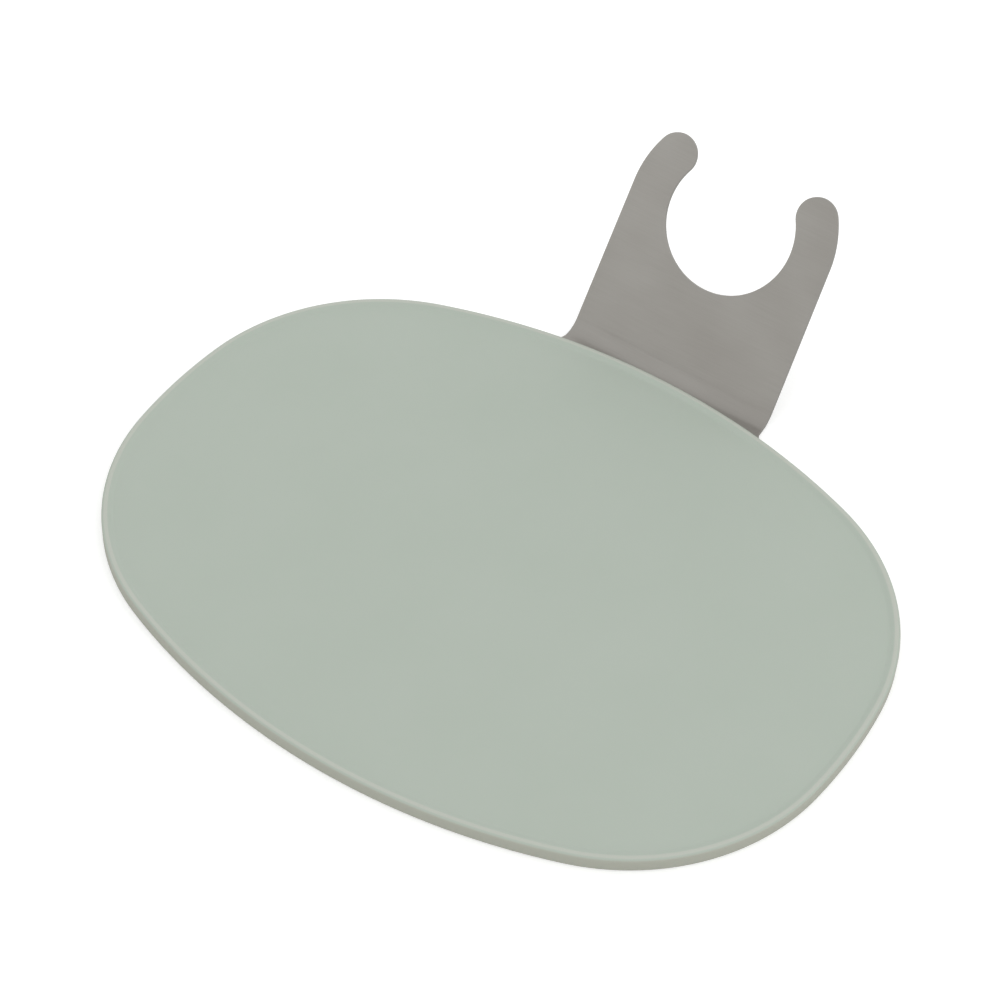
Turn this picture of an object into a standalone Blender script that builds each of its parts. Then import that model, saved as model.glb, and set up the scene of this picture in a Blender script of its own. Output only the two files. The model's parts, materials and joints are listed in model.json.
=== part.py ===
"""Clip-on oval tray: a bent steel hook plate with a silicone cover that lifts off.

Metres, +Z up. The origin is the middle of the steel plate's underside, which is the face that
the tray lies on. +X runs along the oval's long axis, and +Y points from the oval to the hook.
"""

from math import atan2, cos, pi, radians, sin, tan

import bmesh
import bpy
from mathutils import Vector

COLLECTION = "clip_on_tray"
CUTTERS = "cutters"
TOUCH_GAP = 0.0003

# Oval outline of the whole tray, made of tangent arcs
HALF_LENGTH = 0.1400
HALF_DEPTH = 0.1057
END_RADIUS = 0.1942
CORNER_RADIUS = 0.0829
SIDE_RADIUS = 0.2401
ARC_STEP = radians(3.0)
SMALL_ARC_STEP = radians(12.0)

# Silicone cover
COVER_HEIGHT = 0.0057
RIM_HEIGHT = 0.0008
RIM_WIDTH = 0.0040
WALL = 0.0025
TOP_ROUNDING = 0.0010
BOTTOM_ROUNDING = 0.0006
PLATE_INSET = WALL + TOUCH_GAP
CUTTER_REACH = 0.0020

# Steel sheet and its bend
SHEET = 0.0015
BEND_ANGLE = radians(55.7)
BEND_RADIUS = 0.0080
TAB_FOOT_Y = 0.1112
BEND_ROWS = 8

# Tab, measured up the tab's front face from its line on the ground plane
HOOK_CENTRE = 0.0614
HOOK_RADIUS = 0.0252
HOOK_OUTER_RADIUS = 0.0409
FINGER_ANGLE = radians(27.9)
NECK_HALF_WIDTH = 0.0419

# Root of the neck, which flares out into the plate under the cover
FLARE_START_Y = 0.1080
FLARE_RADIUS = 0.0050
FLARE_TURN = radians(45.0)
ROOT_HALF_WIDTH = 0.0502
ROOT_RISE = ((SIDE_RADIUS - PLATE_INSET) ** 2 - ROOT_HALF_WIDTH**2) ** 0.5
ROOT_Y = HALF_DEPTH - SIDE_RADIUS + ROOT_RISE

# The bend starts where its tangent length before the tab's foot says
BEND_START_Y = TAB_FOOT_Y + SHEET / tan(BEND_ANGLE) - BEND_RADIUS * tan(BEND_ANGLE / 2)
BEND_LENGTH = BEND_RADIUS * BEND_ANGLE
BEND_TOP_Z = SHEET + BEND_RADIUS * (1 - cos(BEND_ANGLE))


def clear_scene():
    for item in list(bpy.data.objects):
        bpy.data.objects.remove(item, do_unlink=True)


def collection(name):
    group = bpy.data.collections.new(name)
    bpy.context.scene.collection.children.link(group)
    return group


def material(name, colour, roughness, metallic):
    made = bpy.data.materials.new(name)
    made.use_nodes = True
    shader = made.node_tree.nodes["Principled BSDF"]
    shader.inputs["Base Color"].default_value = (*colour, 1.0)
    shader.inputs["Roughness"].default_value = roughness
    shader.inputs["Metallic"].default_value = metallic
    made.diffuse_color = (*colour, 1.0)
    return made


def arc(centre, radius, start, end, step=ARC_STEP):
    """Points on an arc from one angle to another, both ends included."""
    steps = max(2, round(abs(end - start) / step))
    angles = [start + (end - start) * i / steps for i in range(steps + 1)]
    return [(centre[0] + radius * cos(a), centre[1] + radius * sin(a)) for a in angles]


def corner_centre(end_centre, side_centre):
    """Centre of the corner arc, which touches the end arc and the side arc from inside."""
    from_end = END_RADIUS - CORNER_RADIUS
    from_side = SIDE_RADIUS - CORNER_RADIUS
    span = Vector(side_centre) - Vector(end_centre)
    along = (span.length_squared + from_end**2 - from_side**2) / (2 * span.length)
    across = (from_end**2 - along**2) ** 0.5
    unit = span.normalized()
    return Vector(end_centre) + unit * along + Vector((-unit.y, unit.x)) * across


def oval(inset):
    """Anticlockwise outline of the oval from +X, moved inwards by inset."""
    end = (HALF_LENGTH - END_RADIUS, 0.0)
    side = (0.0, HALF_DEPTH - SIDE_RADIUS)
    corner = corner_centre(end, side)
    end_turn = atan2(corner.y - end[1], corner.x - end[0])
    side_turn = atan2(corner.y - side[1], corner.x - side[0])
    quarter = arc(end, END_RADIUS - inset, 0.0, end_turn)
    quarter += arc(corner, CORNER_RADIUS - inset, end_turn, side_turn)[1:]
    quarter += arc(side, SIDE_RADIUS - inset, side_turn, pi / 2)[1:]
    rear = quarter + [(-x, y) for x, y in reversed(quarter[:-1])]
    return rear + [(x, -y) for x, y in reversed(rear[1:-1])]


def slab(name, outline, low, high, group):
    """Upright solid between two heights, from a flat curve that is filled and extruded."""
    curve = bpy.data.curves.new(name, "CURVE")
    curve.dimensions = "2D"
    curve.fill_mode = "BOTH"
    curve.extrude = (high - low) / 2
    spline = curve.splines.new("POLY")
    spline.points.add(len(outline) - 1)
    for point, (x, y) in zip(spline.points, outline):
        point.co = (x, y, 0.0, 1.0)
    spline.use_cyclic_u = True
    guide = bpy.data.objects.new(name + "_outline", curve)
    guide.location.z = (low + high) / 2
    group.objects.link(guide)
    bpy.context.view_layer.update()
    evaluated = guide.evaluated_get(bpy.context.evaluated_depsgraph_get())
    mesh = bpy.data.meshes.new_from_object(evaluated)
    shape = bmesh.new()
    shape.from_mesh(mesh)
    bmesh.ops.remove_doubles(shape, verts=shape.verts, dist=1e-6)
    bmesh.ops.dissolve_limit(shape, angle_limit=radians(0.5), verts=shape.verts, edges=shape.edges)
    bmesh.ops.recalc_face_normals(shape, faces=shape.faces)
    shape.to_mesh(mesh)
    shape.free()
    solid = bpy.data.objects.new(name, mesh)
    solid.matrix_world = guide.matrix_world.copy()
    group.objects.link(solid)
    bpy.data.objects.remove(guide, do_unlink=True)
    return solid


def cut(solid, cutter):
    cutter.hide_render = True
    cutter.display_type = "WIRE"
    boolean = solid.modifiers.new(cutter.name, "BOOLEAN")
    boolean.operation = "DIFFERENCE"
    boolean.solver = "EXACT"
    boolean.object = cutter


def smooth_by_angle(mesh, degrees):
    mesh.shade_smooth()
    mesh.set_sharp_from_angle(angle=radians(degrees))


def round_long_edges(solid):
    """Round the oval's top edge and, less, its bottom edge."""
    mesh = solid.data
    shape = bmesh.new()
    shape.from_mesh(mesh)
    for is_top, radius in ((True, TOP_ROUNDING), (False, BOTTOM_ROUNDING)):
        rim = [
            edge for edge in shape.edges
            if all((vert.co.z > 0) == is_top for vert in edge.verts)
            and any(abs(face.normal.z) < 0.5 for face in edge.link_faces)
        ]
        bmesh.ops.bevel(shape, geom=rim, offset=radius, segments=3, profile=0.5, affect="EDGES")
    shape.to_mesh(mesh)
    shape.free()


def neck_side():
    """Right side of the neck, from its root on the plate's edge to where the neck runs straight."""
    centre = (NECK_HALF_WIDTH + FLARE_RADIUS, FLARE_START_Y)
    flare = arc(centre, FLARE_RADIUS, pi + FLARE_TURN, pi, SMALL_ARC_STEP)
    return [(ROOT_HALF_WIDTH, ROOT_Y)] + flare


def make_silicone_cover(parts, cutters):
    cover = slab("silicone_cover", oval(0.0), 0.0, COVER_HEIGHT, parts)
    round_long_edges(cover)
    smooth_by_angle(cover.data, 30)
    floor_top = COVER_HEIGHT - RIM_HEIGHT
    dish = slab("dish_cutter", oval(RIM_WIDTH), floor_top, COVER_HEIGHT + CUTTER_REACH, cutters)
    ceiling = SHEET + TOUCH_GAP
    pocket = slab("pocket_cutter", oval(WALL), -CUTTER_REACH, ceiling, cutters)
    side = [(x + 2 * TOUCH_GAP, y) for x, y in neck_side()[:2]]
    side = [(side[0][0], HALF_DEPTH / 2)] + side + [(side[1][0], HALF_DEPTH + CUTTER_REACH)]
    notch_outline = side + [(-x, y) for x, y in reversed(side)]
    notch = slab("neck_notch_cutter", notch_outline, -2 * CUTTER_REACH, ceiling, cutters)
    for cutter in (dish, pocket, notch):
        cut(cover, cutter)
    cover.data.materials.append(material("sage_silicone", (0.450, 0.500, 0.435), 0.62, 0.0))
    return cover


def tab_y(height_up_tab):
    """Place in the unbent sheet of a point that lies this far up the tab's front face."""
    return BEND_START_Y + BEND_LENGTH + height_up_tab - BEND_TOP_Z / sin(BEND_ANGLE)


def half_tab():
    """Right half of the tab in the unbent sheet, from its root up to the hook's lowest point."""
    centre = (0.0, tab_y(HOOK_CENTRE))
    outer = arc(centre, HOOK_OUTER_RADIUS, 0.0, FINGER_ANGLE)
    middle_radius = (HOOK_RADIUS + HOOK_OUTER_RADIUS) / 2
    finger_radius = (HOOK_OUTER_RADIUS - HOOK_RADIUS) / 2
    finger_centre = (
        centre[0] + middle_radius * cos(FINGER_ANGLE),
        centre[1] + middle_radius * sin(FINGER_ANGLE),
    )
    finger = arc(finger_centre, finger_radius, FINGER_ANGLE, FINGER_ANGLE + pi, SMALL_ARC_STEP)
    inner = arc(centre, HOOK_RADIUS, FINGER_ANGLE, -pi / 2)
    return neck_side() + outer + finger[1:-1] + inner


def blank_outline():
    """Anticlockwise outline of the unbent sheet: the oval, open at the rear, and the tab."""
    plate = oval(PLATE_INSET)
    open_plate = [p for p in plate if p[1] < 0 or abs(p[0]) > ROOT_HALF_WIDTH]
    first = next(i for i, p in enumerate(open_plate) if p[0] < 0 < p[1])
    right = half_tab()
    left = [(-x, y) for x, y in reversed(right[:-1])]
    return open_plate[:first] + right + left + open_plate[first:]


def bend(point):
    """Fold a point of the unbent sheet's upper face round the bend."""
    past = point.y - BEND_START_Y
    if past <= 0:
        return Vector((point.x, point.y, SHEET))
    turned = min(past / BEND_RADIUS, BEND_ANGLE)
    straight = max(past - BEND_LENGTH, 0.0)
    y = BEND_START_Y + BEND_RADIUS * sin(turned) + straight * cos(BEND_ANGLE)
    z = SHEET + BEND_RADIUS * (1 - cos(turned)) + straight * sin(BEND_ANGLE)
    return Vector((point.x, y, z))


def make_hook_plate(parts):
    shape = bmesh.new()
    rim = [shape.verts.new((x, y, 0.0)) for x, y in blank_outline()]
    shape.faces.new(rim)
    for row in range(BEND_ROWS + 1):
        line = Vector((0.0, BEND_START_Y + BEND_LENGTH * row / BEND_ROWS, 0.0))
        everything = shape.verts[:] + shape.edges[:] + shape.faces[:]
        bmesh.ops.bisect_plane(shape, geom=everything, plane_co=line, plane_no=(0, 1, 0))
    bmesh.ops.triangulate(shape, faces=shape.faces)
    for vert in shape.verts:
        vert.co = bend(vert.co)
    bmesh.ops.dissolve_limit(shape, angle_limit=radians(0.5), verts=shape.verts, edges=shape.edges)
    mesh = bpy.data.meshes.new("hook_plate")
    shape.to_mesh(mesh)
    shape.free()
    plate = bpy.data.objects.new("hook_plate", mesh)
    parts.objects.link(plate)
    thicken = plate.modifiers.new("sheet", "SOLIDIFY")
    thicken.thickness = SHEET
    thicken.offset = -1.0
    thicken.use_even_offset = True
    smooth_by_angle(mesh, 30)
    mesh.materials.append(material("brushed_stainless", (0.55, 0.54, 0.52), 0.38, 1.0))
    return plate


def main():
    clear_scene()
    parts = collection(COLLECTION)
    cutters = collection(CUTTERS)
    make_hook_plate(parts)
    make_silicone_cover(parts, cutters)


main()
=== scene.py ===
"""Looks of the clip-on oval tray: matt silicone cover, brushed steel hook plate, pale studio.

Metres, +Z up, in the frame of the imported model.
"""

import json
from math import asin, atan2, ceil, cos, pi, radians, sin, tan

import bmesh
import bpy
from mathutils import Matrix, Vector


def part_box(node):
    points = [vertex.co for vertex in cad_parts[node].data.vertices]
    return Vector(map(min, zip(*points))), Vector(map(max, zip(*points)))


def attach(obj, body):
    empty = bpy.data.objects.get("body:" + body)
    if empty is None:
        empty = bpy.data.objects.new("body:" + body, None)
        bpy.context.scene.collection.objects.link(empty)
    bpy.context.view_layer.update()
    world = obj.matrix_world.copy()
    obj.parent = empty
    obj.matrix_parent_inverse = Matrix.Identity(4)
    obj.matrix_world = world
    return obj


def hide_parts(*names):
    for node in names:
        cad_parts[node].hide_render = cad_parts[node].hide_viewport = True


MM = 0.001

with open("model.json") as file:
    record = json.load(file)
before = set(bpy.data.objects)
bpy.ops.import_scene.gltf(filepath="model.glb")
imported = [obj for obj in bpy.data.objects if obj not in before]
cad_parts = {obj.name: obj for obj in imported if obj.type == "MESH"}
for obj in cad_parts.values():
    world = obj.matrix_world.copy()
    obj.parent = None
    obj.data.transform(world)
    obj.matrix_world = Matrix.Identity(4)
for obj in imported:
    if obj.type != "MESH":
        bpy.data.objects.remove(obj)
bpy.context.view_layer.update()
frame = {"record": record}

# Oval outline: its half sizes come from the frame, its tangent arcs from these radii
COVER_LOW, COVER_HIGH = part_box("silicone_cover")
HALF_LENGTH = COVER_HIGH.x
HALF_DEPTH = COVER_HIGH.y
COVER_TOP = COVER_HIGH.z
END_RADIUS = 194.2 * MM
CORNER_RADIUS = 82.9 * MM
SIDE_RADIUS = 240.1 * MM
OUTLINE_STEP = 2.0 * MM

# Silicone cover in section
WALL = 2.5 * MM
TOUCH_GAP = 0.3 * MM
FLOOR_TOP = COVER_TOP - 0.8 * MM
CREST_INSET = 1.25 * MM
CREST_FLAT = 0.35 * MM
CREST_ROUNDING = 1.15 * MM
RIM_FOOT_INSET = 4.3 * MM
RIM_DIP = 0.07 * MM
DIP_END_INSET = 8.5 * MM
BOTTOM_ROUNDING = 0.7 * MM
INNER_ROUNDING = 0.25 * MM
CHAMFER_SHARE = 0.3
FLOOR_RINGS = [12 * MM, 20 * MM, 32 * MM, 46 * MM, 62 * MM]

# Notch in the cover's rear wall, over the steel neck
NOTCH_HALF_WIDTH = 50.4 * MM
NOTCH_FADE = 1.2 * MM
NOTCH_COLUMN = 0.2 * MM
NOTCH_SHORTFALL = 0.05 * MM
COLUMN_CLEARANCE = 0.003  # radians

# Steel sheet
SHEET = 1.5 * MM
BEND_RADIUS = 8.0 * MM
BEND_ROWS = 24
HOOK_CENTRE = 61.4 * MM
HOOK_RADIUS = 25.2 * MM
HOOK_OUTER_RADIUS = 40.9 * MM
FINGER_ANGLE = radians(27.9)
NECK_HALF_WIDTH = 41.9 * MM
FLARE_START_Y = 108.0 * MM
FLARE_RADIUS = 5.0 * MM
FLARE_TURN = radians(45.0)
ROOT_HALF_WIDTH = 50.2 * MM
ROOT_CLEARANCE = 0.1 * MM
EDGE_BREAK = 0.18 * MM
SHEET_ARC_STEP = 0.8 * MM

# Tones, as linear colours
SAGE_DEEP = (0.405, 0.454, 0.392)
SAGE_PALE = (0.414, 0.461, 0.401)
# Painted highlight: a paler sage laid on the rim's crest in place of the light it catches
SAGE_PAINTED_HIGHLIGHT = (0.466, 0.488, 0.430)
# Painted shade: a darker, warmer sage for the side wall, standing in for the shade it gets under light
# from above
SAGE_PAINTED_SHADE = (0.392, 0.400, 0.340)
STEEL_DEEP = (0.316, 0.299, 0.275)
STEEL_PALE = (0.362, 0.347, 0.322)

# Where painted light goes on the silicone: depths below the top for the painted highlight on the crest,
# and the upward part of the normal below which the wall takes painted shade
CREST_HIGHLIGHT_BELOW = (0.14 * MM, 0.01 * MM)
FACING_UP = (0.30, 0.85)

# Surface finish: noise waves a metre along X, Y and Z, depths of relief, and roughness
SILICONE_CLOUD = (26, 26, 26)
SILICONE_PATCHES = (140, 140, 140)
SILICONE_SWELL = (60, 60, 60)
SILICONE_GRAIN = (2600, 2600, 2600)
SWELL_DEPTH = 0.02 * MM
GRAIN_DEPTH = 0.012 * MM
SILICONE_ROUGHNESS = (0.52, 0.60)
STEEL_CLOUD = (20, 34, 34)
STEEL_STREAKS = (60, 4200, 4200)
STREAK_DEPTH = 0.01 * MM
STEEL_ROUGHNESS = (0.36, 0.50)

# Camera and studio
CAMERA_PLACE = (0.3181, -0.5192, 0.7081)
CAMERA_AZIMUTH = radians(31.5)
CAMERA_ELEVATION = radians(47.93)
CAMERA_ROLL = radians(3.64)
LENS = 97.85
TENT_AT_HORIZON = 1.11
TENT_OVERHEAD = 0.94
SOFTBOX_PLACE = (1.7, 0.3, 1.5)
SOFTBOX_SIZE = (2.0, 1.6)
SOFTBOX_WATTS = 6.0
FLOOR_SIZE = 12.0
FLOOR_DROP = 0.05 * MM
FLOOR_TONE = (0.80, 0.80, 0.79)
FLOOR_GLOW = 0.35
TENT_TINT = (0.985, 0.993, 1.0)


def mount(name):
    return next(m for m in frame["record"]["mounts"] if m["name"] == name)


# The tab's plane comes from the mount on its front face
TAB_FACE = mount("hook_front_face")
BEND_ANGLE = atan2(-TAB_FACE["axis"][1], TAB_FACE["axis"][2])
TAB_FOOT_Y = TAB_FACE["pos_m"][1] - TAB_FACE["pos_m"][2] / tan(BEND_ANGLE)
BEND_START_Y = TAB_FOOT_Y + SHEET / tan(BEND_ANGLE) - BEND_RADIUS * tan(BEND_ANGLE / 2)
BEND_LENGTH = BEND_RADIUS * BEND_ANGLE
BEND_TOP_Z = SHEET + BEND_RADIUS * (1 - cos(BEND_ANGLE))


def even_angles(radius, start, end, spacing):
    """Angles from start to end, about spacing apart along an arc of this radius."""
    steps = max(2, ceil(abs(end - start) * radius / spacing))
    return [start + (end - start) * i / steps for i in range(steps + 1)]


def around(centre, radius, angles):
    return [(centre[0] + radius * cos(a), centre[1] + radius * sin(a)) for a in angles]


def arc(centre, radius, start, end, spacing):
    return around(centre, radius, even_angles(radius, start, end, spacing))


def corner_centre(end_centre, side_centre):
    """Centre of the corner arc, which touches the end arc and the side arc from inside."""
    from_end = END_RADIUS - CORNER_RADIUS
    from_side = SIDE_RADIUS - CORNER_RADIUS
    span = Vector(side_centre) - Vector(end_centre)
    along = (span.length_squared + from_end**2 - from_side**2) / (2 * span.length)
    across = (from_end**2 - along**2) ** 0.5
    unit = span.normalized()
    return Vector(end_centre) + unit * along + Vector((-unit.y, unit.x)) * across


def side_angles(start):
    """Angles of the side arc's columns, closer together where the neck's notch ends."""
    angles = even_angles(SIDE_RADIUS, start, pi / 2, OUTLINE_STEP)
    near = NOTCH_HALF_WIDTH - NOTCH_FADE
    count = round(4 * NOTCH_FADE / NOTCH_COLUMN)
    extra = [pi / 2 - asin((near + i * NOTCH_COLUMN) / SIDE_RADIUS) for i in range(count)]
    low, high = extra[-1] - COLUMN_CLEARANCE, extra[0] + COLUMN_CLEARANCE
    kept = [a for a in angles if not low < a < high]
    return sorted(kept + extra)


def oval(inset):
    """Anticlockwise outline of the oval from +X, moved inwards by inset, always in as many points."""
    end = (HALF_LENGTH - END_RADIUS, 0.0)
    side = (0.0, HALF_DEPTH - SIDE_RADIUS)
    corner = corner_centre(end, side)
    end_turn = atan2(corner.y - end[1], corner.x - end[0])
    side_turn = atan2(corner.y - side[1], corner.x - side[0])
    end_angles = even_angles(END_RADIUS, 0.0, end_turn, OUTLINE_STEP)
    corner_angles = even_angles(CORNER_RADIUS, end_turn, side_turn, OUTLINE_STEP)
    quarter = around(end, END_RADIUS - inset, end_angles)
    quarter += around(corner, CORNER_RADIUS - inset, corner_angles)[1:]
    quarter += around(side, SIDE_RADIUS - inset, side_angles(side_turn))[1:]
    rear = quarter + [(-x, y) for x, y in reversed(quarter[:-1])]
    return rear + [(x, -y) for x, y in reversed(rear[1:-1])]


def ease(t):
    t = min(max(t, 0.0), 1.0)
    return t * t * (3 - 2 * t)


def top_profile():
    """(inset, height) from the floor out over the rim to the top of the wall."""
    points = [(inset, FLOOR_TOP) for inset in reversed(FLOOR_RINGS)]
    dip_steps = 6
    for i in range(dip_steps):
        t = i / dip_steps
        inset = DIP_END_INSET + (RIM_FOOT_INSET - DIP_END_INSET) * t
        points.append((inset, FLOOR_TOP - RIM_DIP * ease(t)))
    crest_start = CREST_INSET + CREST_FLAT
    slope_steps = 10
    for i in range(slope_steps):
        t = i / slope_steps
        inset = RIM_FOOT_INSET + (crest_start - RIM_FOOT_INSET) * t
        low = FLOOR_TOP - RIM_DIP
        points.append((inset, low + (COVER_TOP - low) * ease(t)))
    points.append((crest_start, COVER_TOP))
    centre = (CREST_ROUNDING, COVER_TOP - CREST_ROUNDING)
    turns = 8
    for i in range(turns + 1):
        a = pi / 2 * i / turns
        points.append((centre[0] - CREST_ROUNDING * sin(a), centre[1] + CREST_ROUNDING * cos(a)))
    return points


def wall_profile():
    """(inset, height) from the top of the wall down and round the bottom edge."""
    wall_top = COVER_TOP - CREST_ROUNDING
    points = [(0.0, wall_top + (BOTTOM_ROUNDING - wall_top) * t) for t in (0.25, 0.5, 0.75, 1.0)]
    turns = 6
    for i in range(1, turns + 1):
        a = pi / 2 * i / turns
        points.append((BOTTOM_ROUNDING * (1 - cos(a)), BOTTOM_ROUNDING * (1 - sin(a))))
    points.append((WALL - INNER_ROUNDING, 0.0))
    return points


def pocket_profile():
    """(inset, height) from the wall's inner edge up to the pocket's ceiling and in to its middle."""
    ceiling = SHEET + TOUCH_GAP
    points = [
        (WALL - CHAMFER_SHARE * INNER_ROUNDING, CHAMFER_SHARE * INNER_ROUNDING),
        (WALL, INNER_ROUNDING),
        (WALL, ceiling - INNER_ROUNDING),
        (WALL + CHAMFER_SHARE * INNER_ROUNDING, ceiling - CHAMFER_SHARE * INNER_ROUNDING),
        (WALL + INNER_ROUNDING, ceiling),
        (2 * WALL, ceiling),
    ]
    return points + [(inset, ceiling) for inset in FLOOR_RINGS]


def notch_lift(x, y):
    """How far the wall's bottom edge is raised at this place, to let the steel neck out."""
    if y < 0:
        return 0.0
    full = SHEET + TOUCH_GAP - NOTCH_SHORTFALL
    return full * ease((NOTCH_HALF_WIDTH + NOTCH_FADE - abs(x)) / NOTCH_FADE)


def smooth_by_angle(mesh, degrees):
    mesh.shade_smooth()
    mesh.set_sharp_from_angle(angle=radians(degrees))


def link(name, mesh):
    piece = bpy.data.objects.new(name, mesh)
    bpy.context.scene.collection.objects.link(piece)
    return piece


def make_cover():
    """The cover's skin: rings of the oval at each point of its section, joined into one closed body."""
    outer = oval(0.0)
    lifts = [notch_lift(x, y) for x, y in outer]
    shape = bmesh.new()
    rings = []
    ceiling = SHEET + TOUCH_GAP
    wall_top = COVER_TOP - CREST_ROUNDING
    sections = ((top_profile(), None), (wall_profile(), wall_top), (pocket_profile(), ceiling))
    for profile, still in sections:
        for inset, height in profile:
            ring = []
            for (x, y), lift in zip(oval(inset), lifts):
                z = height if still is None else lift + height * (still - lift) / still
                ring.append(shape.verts.new((x, y, z)))
            rings.append(ring)
    for upper, lower in zip(rings, rings[1:]):
        for i in range(len(upper)):
            j = (i + 1) % len(upper)
            shape.faces.new((upper[i], lower[i], lower[j], upper[j]))
    shape.faces.new(rings[0])
    shape.faces.new(list(reversed(rings[-1])))
    mesh = bpy.data.meshes.new("cover_skin")
    shape.to_mesh(mesh)
    shape.free()
    smooth_by_angle(mesh, 50)
    cover = link("cover_skin", mesh)
    mesh.materials.append(silicone_material())
    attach(cover, "cover")
    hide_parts("silicone_cover")
    return cover


def tab_y(height_up_tab):
    """Place in the unbent sheet of a point that lies this far up the tab's front face."""
    return BEND_START_Y + BEND_LENGTH + height_up_tab - BEND_TOP_Z / sin(BEND_ANGLE)


def half_tab():
    """Right half of the tab in the unbent sheet, from its root up to the hook's lowest point."""
    plate_side_radius = SIDE_RADIUS - WALL - TOUCH_GAP
    root_rise = (plate_side_radius**2 - ROOT_HALF_WIDTH**2) ** 0.5
    root = [(ROOT_HALF_WIDTH, HALF_DEPTH - SIDE_RADIUS + root_rise)]
    flare_centre = (NECK_HALF_WIDTH + FLARE_RADIUS, FLARE_START_Y)
    step = SHEET_ARC_STEP
    flare = arc(flare_centre, FLARE_RADIUS, pi + FLARE_TURN, pi, step)
    centre = (0.0, tab_y(HOOK_CENTRE))
    outer = arc(centre, HOOK_OUTER_RADIUS, 0.0, FINGER_ANGLE, step)
    middle_radius = (HOOK_RADIUS + HOOK_OUTER_RADIUS) / 2
    finger_radius = (HOOK_OUTER_RADIUS - HOOK_RADIUS) / 2
    finger_centre = around(centre, middle_radius, [FINGER_ANGLE])[0]
    finger = arc(finger_centre, finger_radius, FINGER_ANGLE, FINGER_ANGLE + pi, step)
    inner = arc(centre, HOOK_RADIUS, FINGER_ANGLE, -pi / 2, step)
    return root + flare + outer + finger[1:-1] + inner


def blank_outline():
    """Anticlockwise outline of the unbent sheet: the oval, open at the rear, and the tab."""
    plate = oval(WALL + TOUCH_GAP)
    open_plate = [p for p in plate if p[1] < 0 or abs(p[0]) > ROOT_HALF_WIDTH + ROOT_CLEARANCE]
    first = next(i for i, p in enumerate(open_plate) if p[0] < 0 < p[1])
    right = half_tab()
    left = [(-x, y) for x, y in reversed(right[:-1])]
    return open_plate[:first] + right + left + open_plate[first:]


def bend(point):
    """Fold a point of the unbent sheet's upper face round the bend."""
    past = point.y - BEND_START_Y
    if past <= 0:
        return Vector((point.x, point.y, SHEET))
    turned = min(past / BEND_RADIUS, BEND_ANGLE)
    straight = max(past - BEND_LENGTH, 0.0)
    y = BEND_START_Y + BEND_RADIUS * sin(turned) + straight * cos(BEND_ANGLE)
    z = SHEET + BEND_RADIUS * (1 - cos(turned)) + straight * sin(BEND_ANGLE)
    return Vector((point.x, y, z))


def make_hook_plate():
    """The bent sheet: its unbent outline is cut at the bend's rows, folded and thickened."""
    shape = bmesh.new()
    shape.faces.new([shape.verts.new((x, y, 0.0)) for x, y in blank_outline()])
    for row in range(BEND_ROWS + 1):
        line = Vector((0.0, BEND_START_Y + BEND_LENGTH * row / BEND_ROWS, 0.0))
        everything = shape.verts[:] + shape.edges[:] + shape.faces[:]
        bmesh.ops.bisect_plane(shape, geom=everything, plane_co=line, plane_no=(0, 1, 0))
    for vert in shape.verts:
        vert.co = bend(vert.co)
    mesh = bpy.data.meshes.new("hook_sheet")
    shape.to_mesh(mesh)
    shape.free()
    plate = link("hook_sheet", mesh)
    mesh.materials.append(steel_material())
    thicken = plate.modifiers.new("sheet", "SOLIDIFY")
    thicken.thickness = SHEET
    thicken.offset = -1.0
    thicken.use_even_offset = True
    edges = plate.modifiers.new("edge_break", "BEVEL")
    edges.width = EDGE_BREAK
    edges.segments = 3
    edges.limit_method = "ANGLE"
    edges.angle_limit = radians(60)
    edges.harden_normals = True
    smooth_by_angle(mesh, 40)
    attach(plate, "frame")
    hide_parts("hook_plate")
    return plate


class Nodes:
    """Short calls for building one material's node tree."""

    def __init__(self, name):
        self.material = bpy.data.materials.new(name)
        self.material.use_nodes = True
        self.tree = self.material.node_tree
        self.shader = self.tree.nodes["Principled BSDF"]

    def add(self, kind, inputs=None, **settings):
        node = self.tree.nodes.new(kind)
        for key, value in settings.items():
            setattr(node, key, value)
        for key, value in (inputs or {}).items():
            if isinstance(value, bpy.types.NodeSocket):
                self.tree.links.new(value, node.inputs[key])
            else:
                node.inputs[key].default_value = value
        return node

    def place(self, scale):
        """The frame's own coordinates, stretched by scale along each axis."""
        coordinates = self.add("ShaderNodeTexCoord")
        mapping = self.add("ShaderNodeMapping", {"Vector": coordinates.outputs["Object"], "Scale": scale})
        return mapping.outputs["Vector"]

    def noise(self, scale, detail=3.0, roughness=0.5):
        """Noise with this many waves a metre along each axis."""
        node = self.add(
            "ShaderNodeTexNoise",
            {"Vector": self.place(scale), "Scale": 1.0, "Detail": detail, "Roughness": roughness},
        )
        return node.outputs["Fac"]

    def between(self, factor, low, high):
        """A number that runs from low to high as the noise does over its usual reach."""
        node = self.add(
            "ShaderNodeMapRange",
            {"Value": factor, "From Min": 0.3, "From Max": 0.7, "To Min": low, "To Max": high},
        )
        return node.outputs["Result"]

    def mix(self, factor, first, second):
        """Colour between two, each a colour or a socket."""
        ends = [end if isinstance(end, bpy.types.NodeSocket) else (*end, 1.0) for end in (first, second)]
        node = self.add("ShaderNodeMix", {0: factor, 6: ends[0], 7: ends[1]}, data_type="RGBA")
        return node.outputs[2]

    def upward(self, kind, output, start, end):
        """0 to 1 as the upward part of a coordinate or normal goes from start to end."""
        source = self.add(kind).outputs[output]
        split = self.add("ShaderNodeSeparateXYZ", {"Vector": source})
        reach = self.add(
            "ShaderNodeMapRange",
            {"Value": split.outputs["Z"], "From Min": start, "From Max": end},
            interpolation_type="SMOOTHSTEP",
        )
        return reach.outputs["Result"]

    def bump(self, height, depth, under=None):
        inputs = {"Height": height, "Strength": 1.0, "Distance": depth}
        if under is not None:
            inputs["Normal"] = under
        return self.add("ShaderNodeBump", inputs).outputs["Normal"]

    def connect(self, socket, name):
        self.tree.links.new(socket, self.shader.inputs[name])

    def set(self, name, value):
        self.shader.inputs[name].default_value = value


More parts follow.
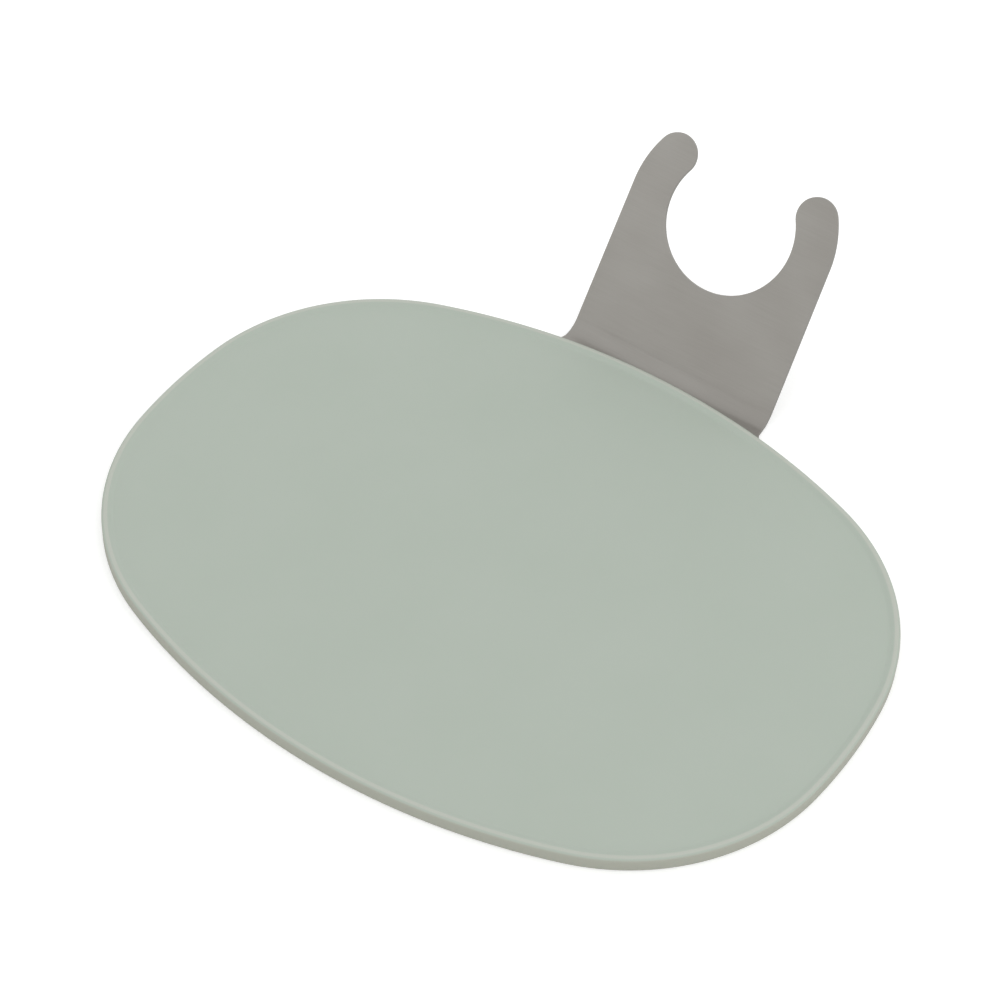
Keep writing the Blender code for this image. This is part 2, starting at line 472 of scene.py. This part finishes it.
def silicone_material():
    """Matt moulded silicone in sage green: a fine mould grain, a painted highlight along the crest and
    painted shade on the side wall.
    """
    nodes = Nodes("sage_silicone")
    cloud = nodes.between(nodes.noise(SILICONE_CLOUD, 3.0), 0.0, 1.0)
    body = nodes.mix(cloud, SAGE_DEEP, SAGE_PALE)
    # Painted highlight: the top of the crest is coloured paler, as if lit
    crest_start, crest_end = (COVER_TOP - below for below in CREST_HIGHLIGHT_BELOW)
    painted_highlight_mask = nodes.upward("ShaderNodeTexCoord", "Object", crest_start, crest_end)
    body_with_painted_highlight = nodes.mix(painted_highlight_mask, body, SAGE_PAINTED_HIGHLIGHT)
    # Painted shade: faces turned away from up take the darker wall colour
    out_of_painted_shade = nodes.upward("ShaderNodeNewGeometry", "Normal", *FACING_UP)
    nodes.connect(nodes.mix(out_of_painted_shade, SAGE_PAINTED_SHADE, body_with_painted_highlight), "Base Color")
    patches = nodes.noise(SILICONE_PATCHES, 4.0)
    nodes.connect(nodes.between(patches, *SILICONE_ROUGHNESS), "Roughness")
    swell = nodes.bump(nodes.noise(SILICONE_SWELL, 2.0), SWELL_DEPTH)
    grain = nodes.bump(nodes.noise(SILICONE_GRAIN, 2.0), GRAIN_DEPTH, swell)
    nodes.connect(grain, "Normal")
    nodes.set("Specular IOR Level", 0.42)
    nodes.set("Subsurface Weight", 0.06)
    nodes.set("Subsurface Radius", (0.6, 1.0, 0.7))
    nodes.set("Subsurface Scale", 0.0015)
    return nodes.material


def steel_material():
    """Stainless sheet with a fine brushed grain along X and soft, uneven tones."""
    nodes = Nodes("brushed_stainless")
    cloud = nodes.between(nodes.noise(STEEL_CLOUD, 2.0), 0.0, 1.0)
    nodes.connect(nodes.mix(cloud, STEEL_DEEP, STEEL_PALE), "Base Color")
    streaks = nodes.noise(STEEL_STREAKS, 4.0, 0.6)
    nodes.connect(nodes.between(streaks, *STEEL_ROUGHNESS), "Roughness")
    nodes.connect(nodes.bump(streaks, STREAK_DEPTH), "Normal")
    nodes.set("Metallic", 1.0)
    return nodes.material


def make_floor():
    """The pale floor. It also glows a little, to the camera only, so that the background is white."""
    height = COVER_LOW.z - FLOOR_DROP
    bpy.ops.mesh.primitive_plane_add(size=FLOOR_SIZE, location=(0.0, 0.0, height))
    floor = bpy.context.object
    floor.name = "studio_floor"
    nodes = Nodes("studio_floor")
    nodes.set("Base Color", (*FLOOR_TONE, 1.0))
    nodes.set("Roughness", 0.9)
    nodes.set("Specular IOR Level", 0.1)
    nodes.set("Emission Color", (1.0, 1.0, 1.0, 1.0))
    seen = nodes.add("ShaderNodeLightPath").outputs["Is Camera Ray"]
    glow = nodes.add("ShaderNodeMath", {0: seen, 1: FLOOR_GLOW}, operation="MULTIPLY")
    nodes.connect(glow.outputs["Value"], "Emission Strength")
    floor.data.materials.append(nodes.material)


def area_light(name, place, target, size, watts):
    lamp = bpy.data.lights.new(name, "AREA")
    lamp.shape = "RECTANGLE"
    lamp.size, lamp.size_y = size
    lamp.energy = watts
    holder = bpy.data.objects.new(name, lamp)
    holder.location = place
    aim = Vector(target) - Vector(place)
    holder.rotation_euler = aim.to_track_quat("-Z", "Y").to_euler()
    bpy.context.scene.collection.objects.link(holder)


def make_world():
    """A white tent all round, a little brighter at the horizon than overhead."""
    world = bpy.data.worlds.new("studio")
    world.use_nodes = True
    tree = world.node_tree
    background = tree.nodes["Background"]
    background.inputs["Color"].default_value = (*TENT_TINT, 1.0)
    coordinates = tree.nodes.new("ShaderNodeTexCoord")
    split = tree.nodes.new("ShaderNodeSeparateXYZ")
    reach = tree.nodes.new("ShaderNodeMapRange")
    reach.inputs["From Min"].default_value = 0.0
    reach.inputs["From Max"].default_value = 1.0
    reach.inputs["To Min"].default_value = TENT_AT_HORIZON
    reach.inputs["To Max"].default_value = TENT_OVERHEAD
    tree.links.new(coordinates.outputs["Generated"], split.inputs["Vector"])
    tree.links.new(split.outputs["Z"], reach.inputs["Value"])
    tree.links.new(reach.outputs["Result"], background.inputs["Strength"])
    bpy.context.scene.world = world


def make_studio():
    make_world()
    area_light("side_softbox", SOFTBOX_PLACE, (0.0, 0.0, 0.0), SOFTBOX_SIZE, SOFTBOX_WATTS)
    make_floor()
    bpy.context.scene.view_settings.view_transform = "Standard"


def make_camera():
    camera = bpy.data.objects.new("camera", bpy.data.cameras.new("camera"))
    camera.data.lens = LENS
    turned = Matrix.Rotation(CAMERA_AZIMUTH, 4, "Z") @ Matrix.Rotation(pi / 2 - CAMERA_ELEVATION, 4, "X")
    turned = turned @ Matrix.Rotation(CAMERA_ROLL, 4, "Z")
    camera.matrix_world = Matrix.Translation(CAMERA_PLACE) @ turned
    bpy.context.scene.collection.objects.link(camera)
    bpy.context.scene.camera = camera


make_camera()
make_cover()
make_hook_plate()
make_studio()
